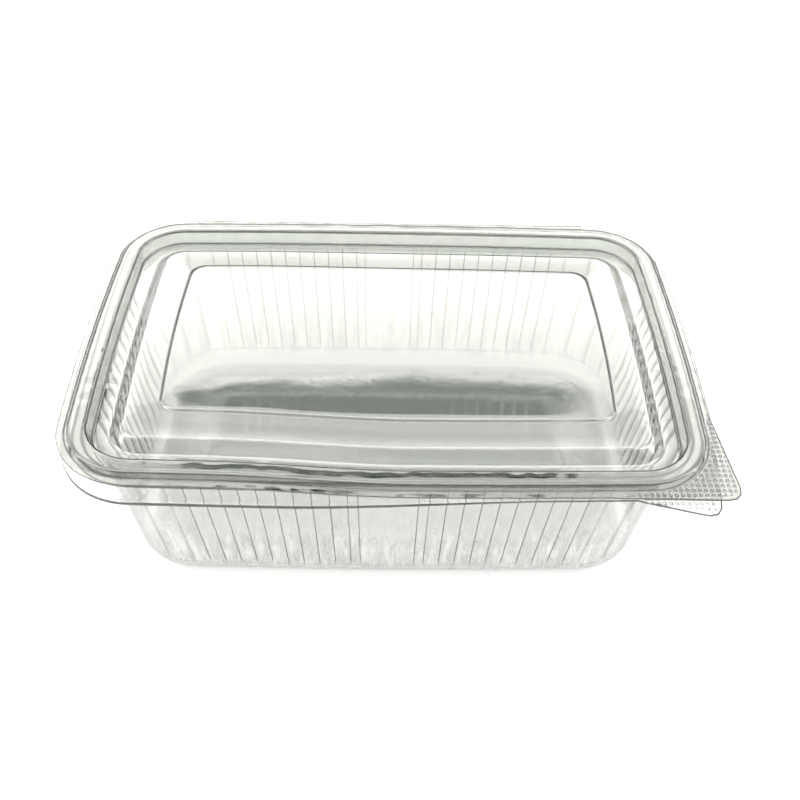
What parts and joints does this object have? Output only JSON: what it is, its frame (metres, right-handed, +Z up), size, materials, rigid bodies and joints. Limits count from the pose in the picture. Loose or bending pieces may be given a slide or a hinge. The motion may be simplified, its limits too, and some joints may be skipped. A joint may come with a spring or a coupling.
{
  "type": "clear hinged takeaway container",
  "caption": "Clear rectangular takeaway box: a fluted tub with a sealing bead and flange, and a raised lid on a fold hinge at the back.",
  "frame": {"origin": "on the surface the tub stands on, under the middle of the outline, tabs and hinge land included", "axes": "+X along the long side towards the finger tabs, -Y out of the front, +Y towards the hinge, +Z up"},
  "size_m": [0.1876, 0.1282, 0.0589],
  "materials": {
    "tub_sheet": "clear, glossy",
    "lid_sheet": "clear, glossy"
  },
  "bodies": {
    "tub": {"tub": "tub_sheet"},
    "lid": {"lid": "lid_sheet"}
  },
  "joints": [
    {"name": "lid_hinge", "type": "hinge", "parent": "tub", "child": "lid", "pos_m": [0, 0.0644, 0.0535], "axis": [-1, 0, 0], "range_deg": [0, 180]}
  ]
}
